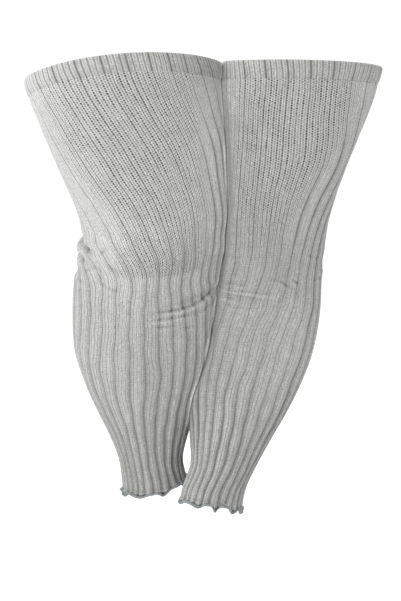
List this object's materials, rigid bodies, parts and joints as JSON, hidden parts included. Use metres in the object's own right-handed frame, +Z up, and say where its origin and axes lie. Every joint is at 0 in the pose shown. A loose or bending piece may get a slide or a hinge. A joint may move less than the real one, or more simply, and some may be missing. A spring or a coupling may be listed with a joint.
{
  "type": "pair of thigh-high ribbed leg warmers",
  "caption": "Pair of long rib-knit leg warmers with folded thigh bands and wavy ankle edges, holding the open hollow form they have when worn.",
  "frame": {"origin": "between the two legs, half-way up the thigh bands, where the wearer's thighs hold the pair up", "axes": "+Z up along the legs, -Y the front, +X towards the wearer's left"},
  "size_m": [0.519, 0.3013, 0.6547],
  "materials": {
    "rib_knit": "soft matt rib knit in heather light grey yarn",
    "overlock_thread": "matt rolled overlock edge in blue-grey thread"
  },
  "bodies": {
    "root": {"right_tube": "rib_knit", "right_thigh_band": "rib_knit", "right_ankle_edge": "overlock_thread", "left_tube": "rib_knit", "left_thigh_band": "rib_knit", "left_ankle_edge": "overlock_thread"}
  },
  "joints": []
}
